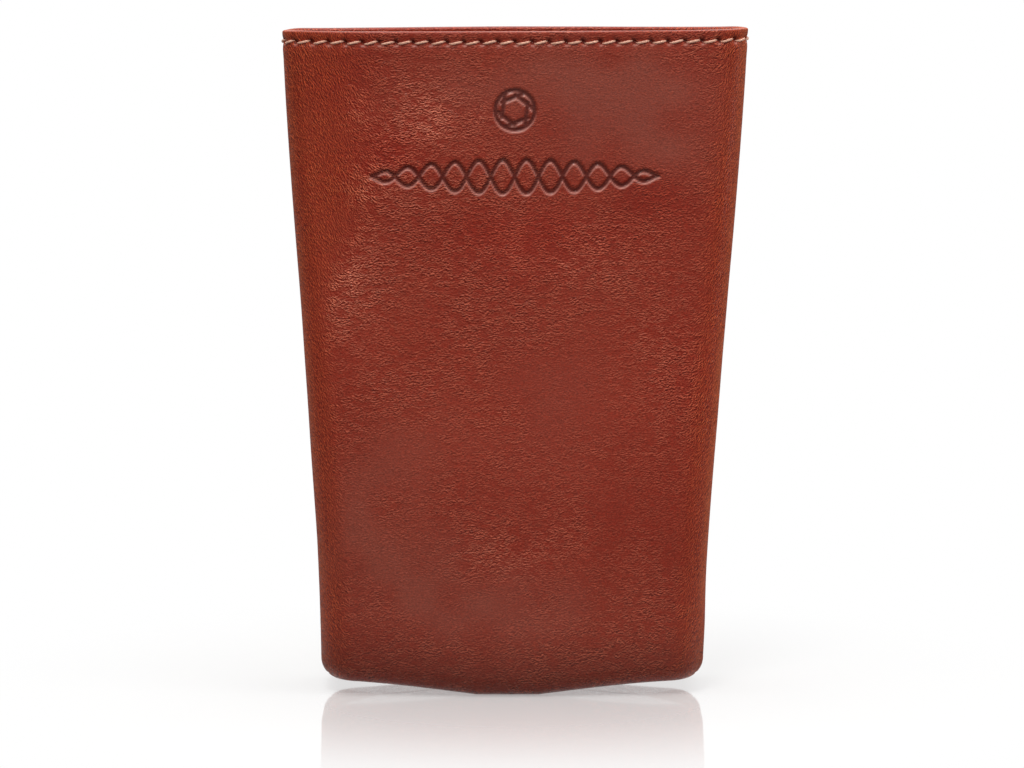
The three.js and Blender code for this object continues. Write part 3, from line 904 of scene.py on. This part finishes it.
@made_once
def lining_material():
    """Brown cotton twill."""
    gloss = {"Roughness": 0.9, "Specular IOR Level": 0.2}
    sheen = {"Sheen Weight": 0.08, "Sheen Roughness": 0.5}
    material, shader = new_material("lining", gloss | sheen)
    mm = place_mm(material)
    twill = add_node(
        material,
        "TexWave",
        {"Vector": mm, "Scale": 0.62, "Distortion": 0.4, "Detail": 2.0, "Detail Scale": 2.0},
        wave_type="BANDS",
        bands_direction="DIAGONAL",
    ).outputs["Fac"]
    slub = noise(material, place_mm(material, (0.5, 0.5, 2.5)), 1.2, 3.0)
    height = maths(material, "MULTIPLY_ADD", slub, 0.5, twill)
    bump = add_node(material, "Bump", {"Height": height, "Distance": 0.05 * MM, "Strength": 0.8})
    plug(material, bump.outputs[0], shader.inputs["Normal"])
    shade = remap(material, height, 0.2, 1.3)
    colour = mix_colour(material, shade, (0.055, 0.02, 0.01, 1), (0.16, 0.066, 0.036, 1))
    plug(material, colour, shader.inputs["Base Color"])
    return material


def spun_thread(name, dark, light):
    """Twisted thread with fine fibres, dirtied in places."""
    material, shader = new_material(name, {"Roughness": 0.6, "Sheen Weight": 0.4, "Sheen Roughness": 0.4})
    fibres = noise(material, place_mm(material, (1, 1, 3)), 4.5, 4.0, 0.65)
    soil = remap(material, noise(material, place_mm(material), 0.22, 3.0), 0.3, 0.7, 0.8, 1.0)
    shade = maths(material, "MULTIPLY", remap(material, fibres, 0.35, 0.65, 0.5, 1.0), soil)
    plug(material, mix_colour(material, shade, dark, light), shader.inputs["Base Color"])
    bump = add_node(material, "Bump", {"Height": fibres, "Distance": 0.04 * MM, "Strength": 0.7})
    plug(material, bump.outputs[0], shader.inputs["Normal"])
    return material


@made_once
def thread_material():
    return spun_thread("topstitch_thread", (0.4, 0.17, 0.1, 1), (0.92, 0.52, 0.37, 1))


@made_once
def seam_thread_material():
    return spun_thread("seam_thread", (0.09, 0.025, 0.014, 1), (0.22, 0.07, 0.04, 1))


@made_once
def lining_thread_material():
    return spun_thread("lining_thread", (0.05, 0.02, 0.012, 1), (0.14, 0.06, 0.035, 1))


def matted(name, dark, light, scale):
    """Felt, board or tape: flat fibres in two tones."""
    material, shader = new_material(name, {"Roughness": 0.95})
    fibres = noise(material, place_mm(material), scale, 6.0, 0.7, 1.0)
    shade = remap(material, fibres, 0.3, 0.7)
    plug(material, mix_colour(material, shade, dark, light), shader.inputs["Base Color"])
    bump = add_node(material, "Bump", {"Height": fibres, "Distance": 0.08 * MM, "Strength": 0.6})
    plug(material, bump.outputs[0], shader.inputs["Normal"])
    return material


@made_once
def interlining_material():
    return matted("interlining", (0.36, 0.3, 0.23, 1), (0.55, 0.48, 0.39, 1), 2.2)


@made_once
def board_material():
    return matted("base_board", (0.2, 0.14, 0.09, 1), (0.38, 0.29, 0.2, 1), 1.4)


@made_once
def tape_material():
    return matted("mouth_tape", (0.55, 0.51, 0.44, 1), (0.78, 0.74, 0.66, 1), 3.0)


# ---- The pieces ----


def add_piece(piece, node):
    """Puts a piece on the case's body in place of its CAD node."""
    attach(piece, "root")
    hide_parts(node)


def keep_node(name, material):
    """Gives a CAD node that stays its finish."""
    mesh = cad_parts[name].data
    mesh.materials.clear()
    mesh.materials.append(material)


add_piece(leather_panel("front_leather", FRONT), "front_panel")
add_piece(leather_panel("back_leather", BACK), "back_panel")
add_piece(lining_panel("front_lining_cloth", FRONT), "lining_front")
add_piece(lining_panel("back_lining_cloth", BACK), "lining_back")
needle = stitch_ring("needle_stitches", 0.195, -0.02, 1.7, seed=5, outside=True)
add_piece(needle, "mouth_needle_thread")
bobbin = stitch_ring("bobbin_stitches", 0.21, 2.93, 2.55, seed=6, outside=False)
add_piece(bobbin, "mouth_bobbin_thread")

for side in ("left", "right"):
    keep_node(f"side_seam_thread_{side}", seam_thread_material())
    keep_node(f"corner_seam_thread_{side}", seam_thread_material())
    keep_node(f"lining_seam_thread_{side}", lining_thread_material())
    keep_node(f"lining_corner_thread_{side}", lining_thread_material())
for face in ("front", "back"):
    keep_node(f"{face}_interlining", interlining_material())
    keep_node(f"mouth_tape_{face}", tape_material())
keep_node("base_seam_thread", seam_thread_material())
keep_node("lining_base_seam_thread", lining_thread_material())
keep_node("base_board", board_material())

# ---- Stage ----

# Radii in mm: the floor's rings of points, and where it starts and ends fading out.
FLOOR_RINGS = (0.2, 150, 450)
FLOOR_FADE = (36, 118)


def add_floor():
    """Round pale shiny floor whose rim fades out into the white surroundings, with no horizon."""
    shine = {"Roughness": 0.06, "Coat Weight": 1.0, "Coat Roughness": 0.06}
    glow = {"Emission Color": (1, 1, 1, 1), "Emission Strength": 0.54}
    material, shader = new_material("stage_white", shine | glow)
    shade = remap(material, noise(material, place_mm(material), 0.004, 1.0), 0.3, 0.7)
    white = mix_colour(material, shade, (0.6, 0.59, 0.58, 1), (0.62, 0.61, 0.6, 1))
    plug(material, white, shader.inputs["Base Color"])
    length = add_node(material, "VectorMath", {0: place_mm(material)}, operation="LENGTH")
    from_middle = length.outputs["Value"]
    plug(material, remap(material, from_middle, *FLOOR_FADE, 1.0, 0.0), shader.inputs["Alpha"])
    turns = np.linspace(0, 2 * math.pi, 97)[:-1]
    rings = [np.stack([r * np.cos(turns), r * np.sin(turns), 0 * turns], axis=1) for r in FLOOR_RINGS]
    count = len(turns)
    faces = [list(range(count))]
    for ring in range(len(rings) - 1):
        for i in range(count):
            j = (i + 1) % count
            faces.append([ring * count + i, (ring + 1) * count + i, (ring + 1) * count + j, ring * count + j])
    floor = make_mesh("floor", np.concatenate(rings), faces)
    floor.data.materials.append(material)


def add_softbox(name, place_m, aim_m, size_m, power):
    """Rectangular soft white light at a place, facing a point."""
    light = bpy.data.lights.new(name, "AREA")
    light.shape = "RECTANGLE"
    light.size, light.size_y = size_m
    light.energy = power
    lamp = bpy.data.objects.new(name, light)
    lamp.location = place_m
    lamp.rotation_euler = (Vector(aim_m) - Vector(place_m)).to_track_quat("-Z", "Y").to_euler()
    bpy.context.scene.collection.objects.link(lamp)


def add_world():
    """White surroundings to the eye and in reflections, and dimmer as the light that falls on the case."""
    world = bpy.data.worlds.new("studio")
    world.use_nodes = True
    tree = world.node_tree
    background = tree.nodes["Background"]
    path = tree.nodes.new("ShaderNodeLightPath")
    reflected = tree.nodes.new("ShaderNodeMapRange")
    reflected.inputs["To Min"].default_value = 0.14
    reflected.inputs["To Max"].default_value = 0.6
    seen = tree.nodes.new("ShaderNodeMath")
    seen.operation = "MAXIMUM"
    tree.links.new(path.outputs["Is Glossy Ray"], reflected.inputs["Value"])
    tree.links.new(path.outputs["Is Camera Ray"], seen.inputs[0])
    tree.links.new(reflected.outputs["Result"], seen.inputs[1])
    tree.links.new(seen.outputs[0], background.inputs["Strength"])
    background.inputs["Color"].default_value = (1, 1, 1, 1)
    bpy.context.scene.world = world


def add_lights():
    """Broad soft light from above and in front, with a small key light and a fill from the right."""
    middle = (0, 0, 0.06)
    add_softbox("key_softbox", (-0.15, -0.6, 0.9), middle, (0.3, 0.25), 4.6)
    add_softbox("side_softbox", (0.9, -0.25, 0.4), middle, (0.4, 0.7), 3.0)
    add_softbox("front_softbox", (0.1, -1.5, 0.45), middle, (1.2, 0.7), 2.3)
    add_softbox("top_softbox", (0, 0.1, 1.1), middle, (1.6, 1.2), 15.5)


def add_camera():
    """A long lens 1 m in front of the case and a little above its mouth."""
    camera = bpy.data.cameras.new("camera")
    camera.sensor_width = 36
    camera.lens = 186.1
    camera.clip_end = 20
    seen = bpy.data.objects.new("camera", camera)
    seen.location = (-0.0003, -1.0, 0.169)
    aim = Vector((-0.0003, 0, 0.0578))
    seen.rotation_euler = (aim - seen.location).to_track_quat("-Z", "Y").to_euler()
    bpy.context.scene.collection.objects.link(seen)
    bpy.context.scene.camera = seen


add_floor()
add_world()
add_lights()
add_camera()
bpy.context.scene.view_settings.view_transform = "Standard"
